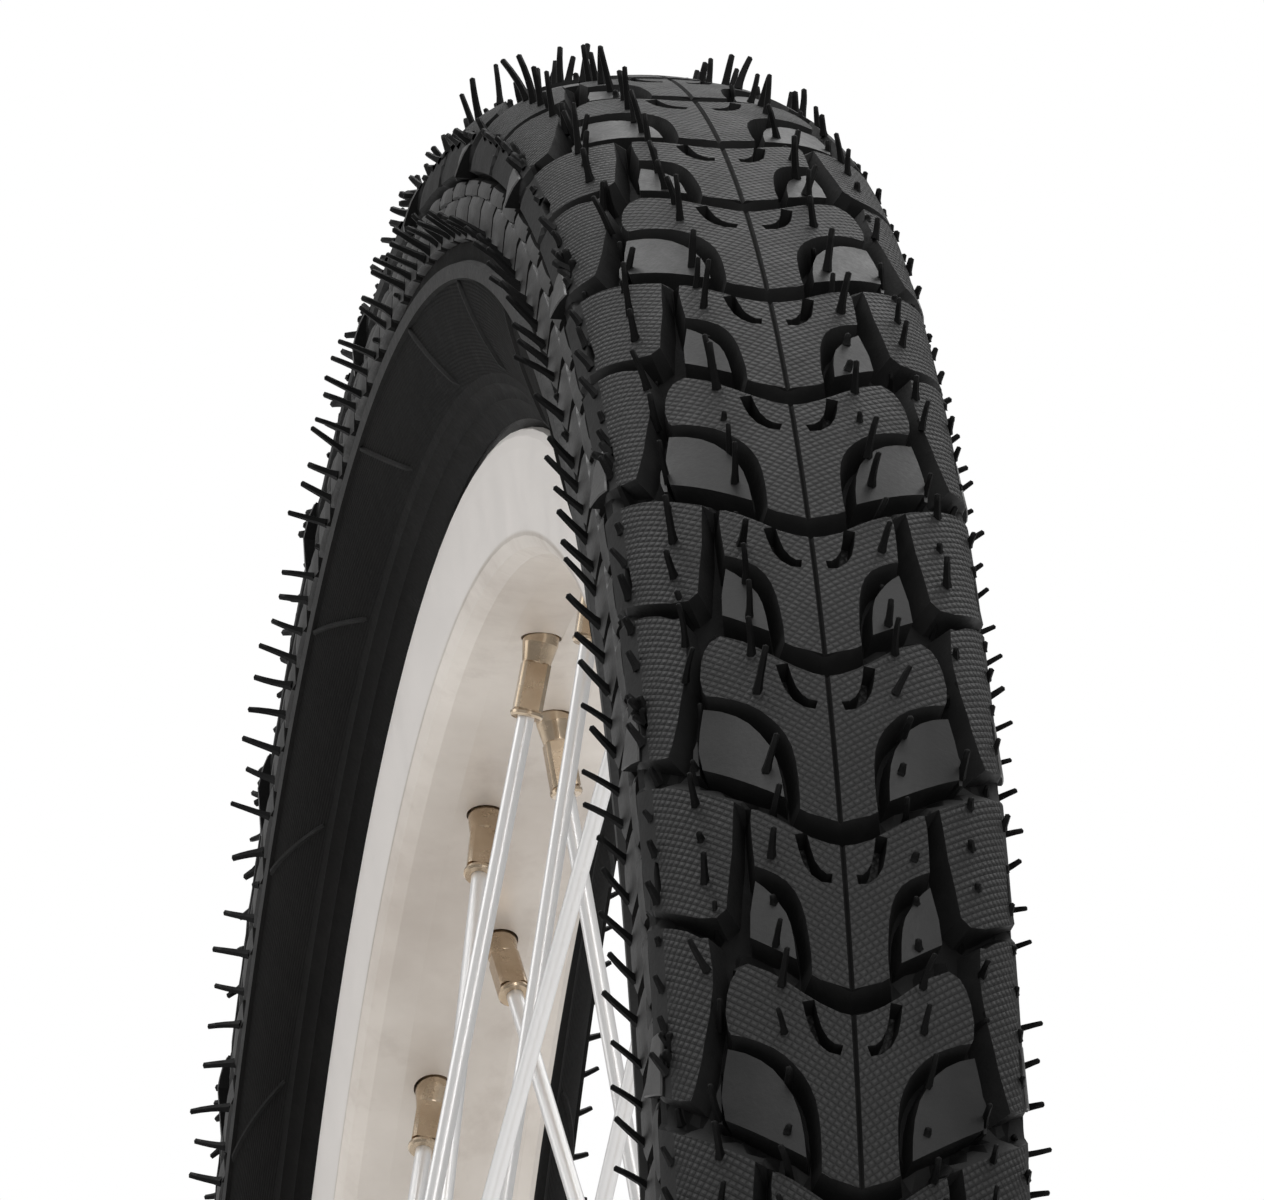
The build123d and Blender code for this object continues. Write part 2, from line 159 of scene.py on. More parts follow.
def offset(p, w):
    """Closed outline moved outwards by w (inwards if negative), corners mitred up to 1.6 w."""
    if area2(p) < 0:
        p = p[::-1]
    q = []
    n = len(p)
    for i in range(n):
        a, b, c = p[i - 1], p[i], p[(i + 1) % n]
        d1 = (b[0] - a[0], b[1] - a[1])
        d2 = (c[0] - b[0], c[1] - b[1])
        l1, l2 = math.hypot(*d1) or 1, math.hypot(*d2) or 1
        n1 = (d1[1] / l1, -d1[0] / l1)
        n2 = (d2[1] / l2, -d2[0] / l2)
        m = (n1[0] + n2[0], n1[1] + n2[1])
        lm = math.hypot(*m) or 1
        m = (m[0] / lm, m[1] / lm)
        k = min(1.6, 1 / max(0.3, m[0] * n1[0] + m[1] * n1[1]))
        q.append((b[0] + m[0] * w * k, b[1] + m[1] * w * k))
    return q


def ribbon(line, w):
    """Outline of a band w wide along an open line."""
    l, r = [], []
    for i, b in enumerate(line):
        a, c = line[max(0, i - 1)], line[min(len(line) - 1, i + 1)]
        d = (c[0] - a[0], c[1] - a[1])
        k = math.hypot(*d) or 1
        n = (-d[1] / k * w / 2, d[0] / k * w / 2)
        l.append((b[0] + n[0], b[1] + n[1]))
        r.append((b[0] - n[0], b[1] - n[1]))
    return l + r[::-1]


def shift(p, dx, dy):
    return [(a + dx, b + dy) for a, b in p]


def inside(poly, x, y):
    c = np.zeros(x.shape, bool)
    n = len(poly)
    for i in range(n):
        x1, y1 = poly[i]
        x2, y2 = poly[(i + 1) % n]
        if y1 == y2:
            continue
        cond = ((y1 > y) != (y2 > y)) & (x < (x2 - x1) * (y - y1) / (y2 - y1) + x1)
        c ^= cond
    return c


def edge_distance(poly, x, y, closed=True):
    d = np.full(x.shape, 1e9)
    n = len(poly) if closed else len(poly) - 1
    for i in range(n):
        x1, y1 = poly[i]
        x2, y2 = poly[(i + 1) % len(poly)]
        if abs(x1) < 1e-6 and abs(x2) < 1e-6:
            continue
        dx, dy = x2 - x1, y2 - y1
        l2 = dx * dx + dy * dy
        if l2 < 1e-12:
            continue
        t = np.clip(((x - x1) * dx + (y - y1) * dy) / l2, 0, 1)
        d = np.minimum(d, np.hypot(x - x1 - t * dx, y - y1 - t * dy))
    return d


# name, outline, depth of the top, width of the wall, kind (0 knurled, 2 smooth pad)
BLOCKS = [("cw", CW, 0.0, 1.15, 0), ("iw", IW, 0.45, 0.4, 2), ("cn", CN, 0.0, 1.15, 0),
          ("in", IN, 0.45, 0.4, 2), ("sw", SW, 0.0, 0.7, 0), ("sn", SN, 0.0, 0.7, 0),
          ("fw", FACET_W, 1.3, 0.4, 2)]
SIPES = [(ribbon(HOOK_W, 1.35), 2.6), (ribbon(HOOK_N, 1.35), 2.6), (POCKET_W, 2.3), (POCKET_N, 1.7)]
BAND = 0.12                             # how far the smooth band outside the blocks is let down


def floor_depth(s):
    return np.interp(np.abs(s), [0, 12, 16, 19, 21.6, 23.8, 27.3], [3.7, 3.7, 3.5, 2.9, 2.2, 0.5, 0.5])


def tread_depth(s, u):
    """Depth under the section's outline at right-half positions s >= 0, and the kind of surface."""
    s, u = np.abs(np.asarray(s, float)), np.mod(np.asarray(u, float), P)
    fl = floor_depth(s)
    d = fl.copy()
    kind = np.ones(s.shape, int)
    for name, poly, top, wall, k in BLOCKS:
        for sh in (-P, 0, P):
            q = shift(poly, 0, sh)
            ins = inside(q, s, u)
            dist = np.where(ins, 0.0, edge_distance(q, s, u))
            t = np.clip(dist / wall, 0, 1)
            cand = np.where(dist < wall, top + (fl - top) * t, fl)
            if name == "sw" or name == "sn":
                cand = np.where(ins, np.clip((s - 21.6) / 0.3, 0, 1) * BAND, cand)
            d = np.minimum(d, cand)
            kind = np.where(ins, k, kind)
            if name == "sw" or name == "sn":
                kind = np.where(ins & (s > 21.6), 3, kind)
    for poly, line, drop in ((SHELF_N, SHELF_N[1:5], 2.3), (SHELF_W, SHELF_W[:2], 2.4)):
        for sh in (-P, 0, P):
            q = shift(poly, 0, sh)
            ins = inside(q, s, u)
            dist = edge_distance(shift(line, 0, sh), s, u, False)
            cand = np.clip(dist / 2.4, 0, 1) * drop
            d = np.where(ins, np.minimum(d, cand), d)
    d = np.where(s < 0.3, np.maximum(d, np.minimum(d + 0.35, 0.35) * (1 - s / 0.3)), d)
    for poly, dep in SIPES:
        for sh in (-P, 0, P):
            q = shift(poly, 0, sh)
            ins = inside(q, s, u)
            dist = edge_distance(q, s, u)
            cand = np.clip(dist / 0.22, 0, 1) * dep
            d = np.where(ins, np.maximum(d, cand), d)
    d = np.where(s > 26.3, np.maximum(d, BAND + np.clip((s - 26.3) / 0.5, 0, 1) * 1.5), d)
    return d, kind


def tread_cell():
    """Triangles of one pitch of the right half: positions s, u and faces."""
    loops = []
    for name, poly, top, wall, k in BLOCKS:
        base = resample(poly, 2.2)
        foot = resample(offset(poly, wall), 2.2)
        loops += [base, foot]
    for poly in (SHELF_N, SHELF_W):
        loops.append(resample(poly, 2.2))
    for poly, dep in SIPES:
        loops.append(resample(poly, 1.6))
        loops.append(resample(offset(poly, -0.22), 1.6))
    verts, edges = [], []

    def add(line, closed):
        i0 = len(verts)
        verts.extend(line)
        n = len(line)
        for i in range(n - (0 if closed else 1)):
            edges.append((i0 + i, i0 + (i + 1) % n))

    lo, hi = -3.0, P + 3.0
    for q in loops:
        for sh in (-P, 0, P):
            w = shift(q, 0, sh)
            if max(b for a, b in w) < lo or min(b for a, b in w) > hi:
                continue
            add(w, True)
    steps = [S_END * i / 14 for i in range(15)]
    for u in (0.0, P):
        add([(s, u) for s in steps], False)
    add([(0.0, lo + (hi - lo) * i / 24) for i in range(25)], False)
    add([(S_END, lo + (hi - lo) * i / 24) for i in range(25)], False)
    for sx in (21.6, 21.9, 23.8, 26.3, 26.8):
        add([(sx, lo + (hi - lo) * i / 24) for i in range(25)], False)
    add([(0.3, lo + (hi - lo) * i / 24) for i in range(25)], False)
    pts = np.array(verts)
    for i in range(1, 14):
        for j in range(0, 15):
            s = S_END * (i + 0.5 * (j % 2) - 0.25) / 14
            u = P * (j + 0.5) / 15
            for sh in (-P, 0, P):
                if lo < u + sh < hi:
                    q = (s, u + sh)
                    if np.hypot(pts[:, 0] - q[0], pts[:, 1] - q[1]).min() > 0.55:
                        verts.append(q)
    vo, eo, fo, _, _, _ = delaunay_2d_cdt([Vector(v) for v in verts], edges, [], 0, 1e-5)
    v = np.array([(a.x, a.y) for a in vo])
    f = np.array([t for t in fo])
    c = v[f].mean(1)
    keep = (c[:, 0] > 0) & (c[:, 0] < S_END) & (c[:, 1] > 0) & (c[:, 1] < P)
    f = f[keep]
    a = v[f]
    ar = (a[:, 1, 0] - a[:, 0, 0]) * (a[:, 2, 1] - a[:, 0, 1]) - (a[:, 2, 0] - a[:, 0, 0]) * (a[:, 1, 1] - a[:, 0, 1])
    f = f[np.abs(ar) > 1e-7]
    ar = ar[np.abs(ar) > 1e-7]
    f[ar < 0] = f[ar < 0][:, ::-1]
    used = np.unique(f)
    remap = -np.ones(len(v), int)
    remap[used] = np.arange(len(used))
    return v[used], remap[f]


def mesh_object(name, co, faces, mats, mat_index=None, uv=None, angle=28.0):
    me = bpy.data.meshes.new(name)
    me.from_pydata([tuple(c) for c in co], [], [tuple(int(i) for i in f) for f in faces])
    for m in mats:
        me.materials.append(m)
    if mat_index is not None:
        me.polygons.foreach_set("material_index", np.asarray(mat_index, np.int32))
    if uv is not None:
        layer = me.uv_layers.new(name="UVMap")
        loops = np.zeros(len(me.loops), np.int32)
        me.loops.foreach_get("vertex_index", loops)
        layer.data.foreach_set("uv", np.asarray(uv)[loops].astype(np.float32).ravel())
    me.update()
    ob = bpy.data.objects.new(name, me)
    scene.collection.objects.link(ob)
    return ob


def finish_mesh(ob, merge=0.0, angle=28.0):
    me = ob.data
    if merge:
        bm = bmesh.new()
        bm.from_mesh(me)
        bmesh.ops.remove_doubles(bm, verts=bm.verts, dist=merge)
        bm.to_mesh(me)
        bm.free()
    me.polygons.foreach_set("use_smooth", np.ones(len(me.polygons), bool))
    me.set_sharp_from_angle(angle=math.radians(angle))
    me.update()


# ---------------------------------------------------------------- procedural materials
class Nodes:
    def __init__(self, name):
        self.mat = bpy.data.materials.new(name)
        self.mat.use_nodes = True
        self.nt = self.mat.node_tree
        self.nt.nodes.clear()
        self.out = self.add("ShaderNodeOutputMaterial")
        self.bsdf = self.add("ShaderNodeBsdfPrincipled")
        self.link(self.bsdf.outputs["BSDF"], self.out.inputs["Surface"])

    def add(self, kind, **props):
        n = self.nt.nodes.new(kind)
        for k, v in props.items():
            setattr(n, k, v)
        return n

    def link(self, a, b):
        self.nt.links.new(a, b)

    def coords(self, kind="Object", scale=(1, 1, 1), rot=(0, 0, 0)):
        c = self.add("ShaderNodeTexCoord")
        m = self.add("ShaderNodeMapping")
        m.inputs["Scale"].default_value = scale
        m.inputs["Rotation"].default_value = rot
        self.link(c.outputs[kind], m.inputs["Vector"])
        return m.outputs["Vector"]

    def noise(self, vec, scale, detail=4.0, rough=0.55):
        n = self.add("ShaderNodeTexNoise")
        n.inputs["Scale"].default_value = scale
        n.inputs["Detail"].default_value = detail
        n.inputs["Roughness"].default_value = rough
        self.link(vec, n.inputs["Vector"])
        return n.outputs["Fac"]

    def ramp(self, fac, stops):
        r = self.add("ShaderNodeValToRGB")
        e = r.color_ramp.elements
        e[0].position, e[0].color = stops[0][0], (*stops[0][1], 1)
        e[1].position, e[1].color = stops[-1][0], (*stops[-1][1], 1)
        for p, c in stops[1:-1]:
            q = e.new(p)
            q.color = (*c, 1)
        self.link(fac, r.inputs["Fac"])
        return r.outputs["Color"]

    def remap(self, fac, lo, hi, a=0.3, b=0.7):
        m = self.add("ShaderNodeMapRange")
        m.inputs["From Min"].default_value = a
        m.inputs["From Max"].default_value = b
        m.inputs["To Min"].default_value = lo
        m.inputs["To Max"].default_value = hi
        self.link(fac, m.inputs["Value"])
        return m.outputs["Result"]

    def math(self, op, a, b=None, c=None):
        m = self.add("ShaderNodeMath", operation=op)
        for i, v in enumerate((a, b, c)):
            if v is None:
                continue
            if isinstance(v, (int, float)):
                m.inputs[i].default_value = v
            else:
                self.link(v, m.inputs[i])
        return m.outputs[0]

    def mix(self, fac, a, b, mode="MIX"):
        m = self.add("ShaderNodeMix", data_type="RGBA", blend_type=mode)
        for sock, v in ((m.inputs[0], fac), (m.inputs[6], a), (m.inputs[7], b)):
            if isinstance(v, (int, float)):
                sock.default_value = v
            elif isinstance(v, tuple):
                sock.default_value = (*v, 1)
            else:
                self.link(v, sock)
        return m.outputs[2]

    def bump(self, height, strength, dist, normal=None):
        b = self.add("ShaderNodeBump")
        b.inputs["Strength"].default_value = strength
        b.inputs["Distance"].default_value = dist
        self.link(height, b.inputs["Height"])
        if normal is not None:
            self.link(normal, b.inputs["Normal"])
        return b.outputs["Normal"]


def rubber(name, dark, light, rough, bump=0.25, grain=1800.0, pattern=None, spec=0.5, dust=0.12, dust_col=(0.11, 0.105, 0.10), painted_valley_shade=0.0):
    n = Nodes(name)
    v = n.coords()
    big = n.noise(v, 26.0, 5.0, 0.6)
    mid = n.noise(v, 210.0, 5.0, 0.65)
    fine = n.noise(v, grain, 3.0, 0.6)
    col = n.ramp(big, [(0.3, dark), (0.55, tuple((a + b) / 2 for a, b in zip(dark, light))), (0.75, light)])
    speck = n.remap(mid, 0.0, dust, 0.48, 0.75)
    col = n.mix(speck, col, dust_col)
    n.link(col, n.bsdf.inputs["Base Color"])
    r = n.math("ADD", n.remap(mid, rough[0], rough[1], 0.3, 0.7), n.remap(fine, -0.04, 0.05))
    n.link(r, n.bsdf.inputs["Roughness"])
    n.bsdf.inputs["Specular IOR Level"].default_value = spec
    nor = n.bump(fine, bump, 0.00012)
    nor = n.bump(mid, bump * 0.8, 0.0003, nor)
    if pattern is not None:
        h, strength, dist = pattern(n)
        # painted shade: the base colour is darkened towards black in the low parts of the pattern, the knurl valleys
        if painted_valley_shade:
            n.link(n.mix(n.remap(h, painted_valley_shade, 0.0, 0.08, 0.5), col, (0.002, 0.002, 0.002)), n.bsdf.inputs["Base Color"])
        nor = n.bump(h, strength, dist, nor)
    n.link(nor, n.bsdf.inputs["Normal"])
    return n.mat


def knurl(n):
    """Small pyramids in slanting rows, mirrored at the centre line: UV is mm across and round the tyre."""
    a = n.coords("UV", (1, 1, 1), (0, 0, math.radians(33)))
    b = n.coords("UV", (1, 1, 1), (0, 0, math.radians(-52)))
    w1 = n.add("ShaderNodeTexWave", wave_type="BANDS", bands_direction="X", wave_profile="TRI")
    w1.inputs["Scale"].default_value = 0.314159 / 0.92
    w1.inputs["Distortion"].default_value = 0.25
    n.link(a, w1.inputs["Vector"])
    w2 = n.add("ShaderNodeTexWave", wave_type="BANDS", bands_direction="X", wave_profile="TRI")
    w2.inputs["Scale"].default_value = 0.314159 / 0.78
    w2.inputs["Distortion"].default_value = 0.25
    n.link(b, w2.inputs["Vector"])
    h = n.math("MULTIPLY", w1.outputs["Fac"], w2.outputs["Fac"])
    h = n.math("POWER", h, 0.7)
    # shallower on the crown than on the shoulder blocks
    sep = n.add("ShaderNodeSeparateXYZ")
    n.link(n.coords("UV"), sep.inputs[0])
    h = n.math("MULTIPLY", h, n.remap(sep.outputs["X"], 0.92, 1.25, 12.0, 17.0))
    # the same height also darkens the base colour in the valleys through rubber(), painted shade
    return h, 0.62, 0.00036


def hatch(n):
    """Fine raised lines running round the sidewall, UV is mm down the section and round the tyre."""
    a = n.coords("UV", (1, 1, 1), (0, 0, math.radians(2.0)))
    w1 = n.add("ShaderNodeTexWave", wave_type="BANDS", bands_direction="X", wave_profile="SIN")
    w1.inputs["Scale"].default_value = 0.314159 / 0.46
    w1.inputs["Distortion"].default_value = 0.6
    w1.inputs["Detail"].default_value = 2.0
    n.link(a, w1.inputs["Vector"])
    return w1.outputs["Fac"], 0.5, 0.00012


def metal(name, stops, rough, metallic=1.0, streak=None, scale=60.0, bump=0.12, fine=2200.0, wear=None, spec=0.5, coat=0.0, flank=None, grain=1.0):
    n = Nodes(name)
    v = n.coords()
    big = n.noise(v, scale, 6.0, 0.6)
    sv = n.coords("Object", streak or (1, 1, 1)) if streak else v
    gr = n.noise(sv, fine, 3.0, 0.6)
    blotch = n.noise(v, scale * 4.3, 5.0, 0.7)
    col = n.ramp(big, stops)
    if wear:
        wf = n.remap(blotch, 0.0, wear[0], 0.52, 0.72)
        col = n.mix(wf, col, wear[1])
    if flank:
        # the machined flanks, further than flank[0] from the axle, are paler
        sep = n.add("ShaderNodeSeparateXYZ")
        n.link(n.coords(), sep.inputs[0])
        away = n.math("POWER", n.math("ADD", n.math("MULTIPLY", sep.outputs["X"], sep.outputs["X"]), n.math("MULTIPLY", sep.outputs["Z"], sep.outputs["Z"])), 0.5)
        ff = n.remap(away, 0.0, 0.96, flank[0], flank[0] + 0.0004)
        col = n.mix(ff, col, flank[1])
    n.link(col, n.bsdf.inputs["Base Color"])
    n.bsdf.inputs["Metallic"].default_value = metallic
    n.bsdf.inputs["Specular IOR Level"].default_value = spec
    n.bsdf.inputs["Coat Weight"].default_value = coat
    n.bsdf.inputs["Coat Roughness"].default_value = 0.2
    r = n.math("ADD", n.remap(blotch, rough[0], rough[1]), n.remap(gr, -0.05 * grain, 0.06 * grain))
    n.link(r, n.bsdf.inputs["Roughness"])
    nor = n.bump(gr, bump, 0.00006)
    nor = n.bump(blotch, bump * 0.6, 0.00025, nor)
    n.link(nor, n.bsdf.inputs["Normal"])
    return n.mat


def weave(n, pitch=0.55, rot=45.0):
    a = n.coords("Object", (1, 1, 1), (0, math.radians(rot), 0))
    w1 = n.add("ShaderNodeTexWave", wave_type="BANDS", bands_direction="X", wave_profile="SIN")
    w1.inputs["Scale"].default_value = 0.314159 / (pitch * 0.001)
    n.link(a, w1.inputs["Vector"])
    w2 = n.add("ShaderNodeTexWave", wave_type="BANDS", bands_direction="Z", wave_profile="SIN")
    w2.inputs["Scale"].default_value = 0.314159 / (pitch * 0.001)
    n.link(a, w2.inputs["Vector"])
    return n.math("MULTIPLY", w1.outputs["Fac"], w2.outputs["Fac"]), 0.5, 0.0001


tread_knurl = rubber("tread_knurled", (0.0158, 0.0158, 0.0158), (0.0268, 0.0268, 0.0268), (0.51, 0.63), pattern=knurl, dust=0.05, spec=0.21, painted_valley_shade=0.68)
# painted shade: steep groove walls darker than the block tops, a little lighter than the groove floors
tread_slope_painted_shade = rubber("tread_slopes_painted_shade", (0.0065, 0.0065, 0.0065), (0.0110, 0.0110, 0.0110), (0.52, 0.64), dust=0.04, spec=0.18)
# painted shade: groove floors and block walls get rubber several times darker than the block tops
tread_groove_painted_shade = rubber("tread_grooves_painted_shade", (0.0045, 0.0045, 0.0045), (0.0080, 0.0080, 0.0080), (0.60, 0.72), dust=0.03, spec=0.08)
tread_pad = rubber("tread_smooth_pads", (0.009, 0.009, 0.009), (0.015, 0.015, 0.015), (0.38, 0.48), bump=0.18, dust=0.04, spec=0.24)
# painted highlight: the wedge pads' faces get rubber about twice as light as the knurled tops, standing in for the
# sheen of light grazing them
tread_wedge_painted_highlight = rubber("tread_wedge_pads_painted_highlight", (0.030, 0.0295, 0.029), (0.044, 0.043, 0.042), (0.36, 0.46), bump=0.18, dust=0.05, spec=0.5)
tread_edge = rubber("tread_edge_pads", (0.012, 0.012, 0.012), (0.019, 0.019, 0.019), (0.54, 0.66), bump=0.2, dust=0.05, spec=0.12)
side_mat = rubber("sidewall_black", (0.0050, 0.0048, 0.0046), (0.0090, 0.0086, 0.0082), (0.66, 0.78), bump=0.3, dust=0.04, spec=0.05)
# painted light: the raised lugs get rubber about three times as light as the sidewall between them, standing in for the
# light they catch
side_lug_painted_light = rubber("sidewall_lugs_painted_light", (0.016, 0.0155, 0.015), (0.027, 0.0265, 0.026), (0.36, 0.50), bump=0.3, dust=0.06, spec=0.50)
side_band = rubber("sidewall_raised_lines", (0.010, 0.0098, 0.0095), (0.016, 0.0155, 0.015), (0.46, 0.58), bump=0.2, dust=0.05, spec=0.22)
side_hatch = rubber("sidewall_hatched", (0.0048, 0.0046, 0.0044), (0.0088, 0.0084, 0.0080), (0.70, 0.82), bump=0.3, pattern=hatch, dust=0.04, spec=0.04)
side_line = rubber("sidewall_slanting_lines", (0.0062, 0.0060, 0.0058), (0.0110, 0.0106, 0.0102), (0.60, 0.72), bump=0.2, dust=0.04, spec=0.08)
hair_mat = rubber("vent_hair_rubber", (0.0025, 0.0025, 0.0025), (0.005, 0.005, 0.005), (0.46, 0.60), bump=0.15, dust=0.015, spec=0.08)

# ---------------------------------------------------------------- tread mesh
cell_v, cell_f = tread_cell()
cs, cu = cell_v[:, 0], cell_v[:, 1]
depth, _ = tread_depth(cs, cu)
cen = cell_v[cell_f].mean(1)
_, kinds = tread_depth(cen[:, 0], cen[:, 1])
dface = depth[cell_f]
rise = dface.max(1) - dface.min(1)
# sloping faces of the knurled blocks take the dark groove rubber, painted shade on the walls
kinds = np.where((kinds == 0) & (rise >= 0.08), 1, kinds)
# steep faces take the slope rubber: painted shade, lighter than on the floors
kinds = np.where((kinds == 1) & (rise > 0.45), 4, kinds)
edge_ids = [i for i in range(len(cs)) if abs(cs[i] - S_END) < 1e-4]
edge_ids.sort(key=lambda i: cu[i])
UNDER = [(18.75, 236.9), (15.95, 240.4), (11.9, 243.3), (8.1, 244.8), (0.0, 245.9)]

co, fa, mi, uv = [], [], [], []
base = 0
nv = len(cs)
for k in range(PERIODS):
    for side in (1, -1):
        pos = place(cs * side + (0 if side > 0 else -1e-9), cu + k * P, np.maximum(depth, -0.15) if side > 0 else depth)
        if side < 0:
            pos[:, 1] = -np.abs(pos[:, 1])
        co.append(pos)
        f = cell_f + base
        fa.append(f[:, ::-1] if side > 0 else f)
        mi.append(kinds)
        uv.append(np.stack([cs, cu + k * P], -1))
        base += nv
        # closing skin under the blocks
        m = len(edge_ids)
        rows = [pos[edge_ids]]
        th = (cu[edge_ids] + k * P + U0) / RO
        for y, r in UNDER:
            rows.append(np.stack([r * np.sin(th), np.full(m, y * side), r * np.cos(th)], -1) * 0.001)
        allrows = np.concatenate(rows)
        co.append(allrows)
        q = []
        for a in range(len(rows) - 1):
            for b in range(m - 1):
                i0 = base + a * m + b
                quad = (i0, i0 + 1, i0 + m + 1, i0 + m)
                t1, t2 = (quad[0], quad[1], quad[2]), (quad[0], quad[2], quad[3])
                if side > 0:
                    t1, t2 = t1[::-1], t2[::-1]
                q += [t1, t2]
        fa.append(np.array(q))
        mi.append(np.ones(len(q), int))
        uv.append(np.zeros((len(allrows), 2)) + 1.0)
        base += len(allrows)
co = np.concatenate(co)
fa = np.concatenate(fa)
mi = np.concatenate(mi)
uv = np.concatenate(uv)
tread = mesh_object("tread_pattern", co, fa, [tread_knurl, tread_groove_painted_shade, tread_pad, tread_edge, tread_slope_painted_shade], mi, uv)
finish_mesh(tread, 0.000008, 26.0)
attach(tread, "wheel")
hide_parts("tread")
print("tread faces", len(tread.data.polygons))


def wedge_pads():
    """Smooth pads on the outer edge of the tread, one in each pitch, rising towards their lower end."""
    ga = [0.0, 0.045, 0.35, 0.65, 0.955, 1.0]
    gb = [0.0, 0.025, 0.25, 0.5, 0.75, 0.975, 1.0]
    v, f, mats = [], [], []
    na, nb = len(ga), len(gb)
    for k in range(PERIODS):
        for side, rise in ((-1, 1.0), (1, 0.4)):
            n0 = len(v)
            for layer in (0, 1):
                for a in ga:
                    for b in gb:
                        s = 23.2 + 3.9 * a
                        u = (0.2 - 1.8 * a) * (1 - b) + (9.2 - 2.3 * a) * b
                        dep = 0.06 - rise * b * (0.45 + 0.85 * a) + (0.16 if a in (0.0, 1.0) or b in (0.0, 1.0) else 0.0)
                        v.append(place(np.array([s * side]), np.array([u + k * P]), np.array([1.9 if layer else dep]))[0])
            i = lambda l, a, b: n0 + l * na * nb + a * nb + b
            fl, ms = [], []
            for a in range(na - 1):
                for b in range(nb - 1):
                    fl.append((i(0, a, b), i(0, a + 1, b), i(0, a + 1, b + 1), i(0, a, b + 1)))
                    fl.append((i(1, a, b), i(1, a, b + 1), i(1, a + 1, b + 1), i(1, a + 1, b)))
                    ms += [0, 1]
            for a in range(na - 1):
                fl.append((i(0, a, 0), i(1, a, 0), i(1, a + 1, 0), i(0, a + 1, 0)))
                fl.append((i(0, a, nb - 1), i(0, a + 1, nb - 1), i(1, a + 1, nb - 1), i(1, a, nb - 1)))
                ms += [1, 1]
            for b in range(nb - 1):
                fl.append((i(0, 0, b), i(0, 0, b + 1), i(1, 0, b + 1), i(1, 0, b)))
                fl.append((i(0, na - 1, b), i(1, na - 1, b), i(1, na - 1, b + 1), i(0, na - 1, b + 1)))
                ms += [1, 1]
            f += fl if side < 0 else [q[::-1] for q in fl]
            mats += ms
    # top faces take the light wedge rubber, painted highlight; the riser walls and underside take the dark groove
    # rubber, painted shadow below the pads
    ob = mesh_object("tread_wedge_pads_painted_highlight", np.array(v), f, [tread_wedge_painted_highlight, tread_groove_painted_shade], mats)
    finish_mesh(ob, 0.0, 35.0)
    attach(ob, "wheel")
    bm = bmesh.new()
    bm.from_mesh(ob.data)
    print("wedge volume", bm.calc_volume(signed=True), "open edges", sum(1 for e in bm.edges if len(e.link_faces) != 2))
    bm.free()


wedge_pads()

# ---------------------------------------------------------------- sidewalls
LUG = P / 4


def smooth(a, b, x):
    t = np.clip((x - a) / (b - a), 0, 1)
    return t * t * (3 - 2 * t)


def boxy(x, a, b, e):
    return smooth(a - e, a, x) * (1 - smooth(b, b + e, x))


def side_height(s, u):
    """How far the sidewall's relief stands off its outline, mm; s mm round the section, u mm round the crown."""
    # floor between the lugs, groove under them, panel
    h = np.interp(s, [26.3, 26.7, 27.0, 27.3, 34.3, 34.7, 36.6, 36.95, 38.7, 39.1], [-2.3, -1.7, -1.5, -1.05, -1.05, -0.8, -0.8, -0.25, -0.25, -0.25])
    # two rows of rounded shoulder lugs, the upper one half a step on
    for s0, s1, ph, hi in ((27.35, 29.1, 0.5, 0.0), (29.4, 34.2, 0.0, 0.18)):
        x = np.mod(u / LUG + ph, 1.0)
        lug = boxy(x, 0.06, 0.88, 0.04) * boxy(s, s0, s1, 0.28)
        pillow = hi - 0.45 * ((x - 0.47) / 0.41) ** 4 - 0.3 * (1 - smooth(s0, s0 + 0.9, s))
        h = np.maximum(h, h + lug * (pillow - h))
    h += 0.45 * boxy(s, 36.95, 38.7, 0.3)
    # bead lines
    for c, w, a in ((51.6, 0.45, 0.28), (53.9, 0.4, 0.3)):
        h += a * np.exp(-((s - c) / w) ** 2)
    return h


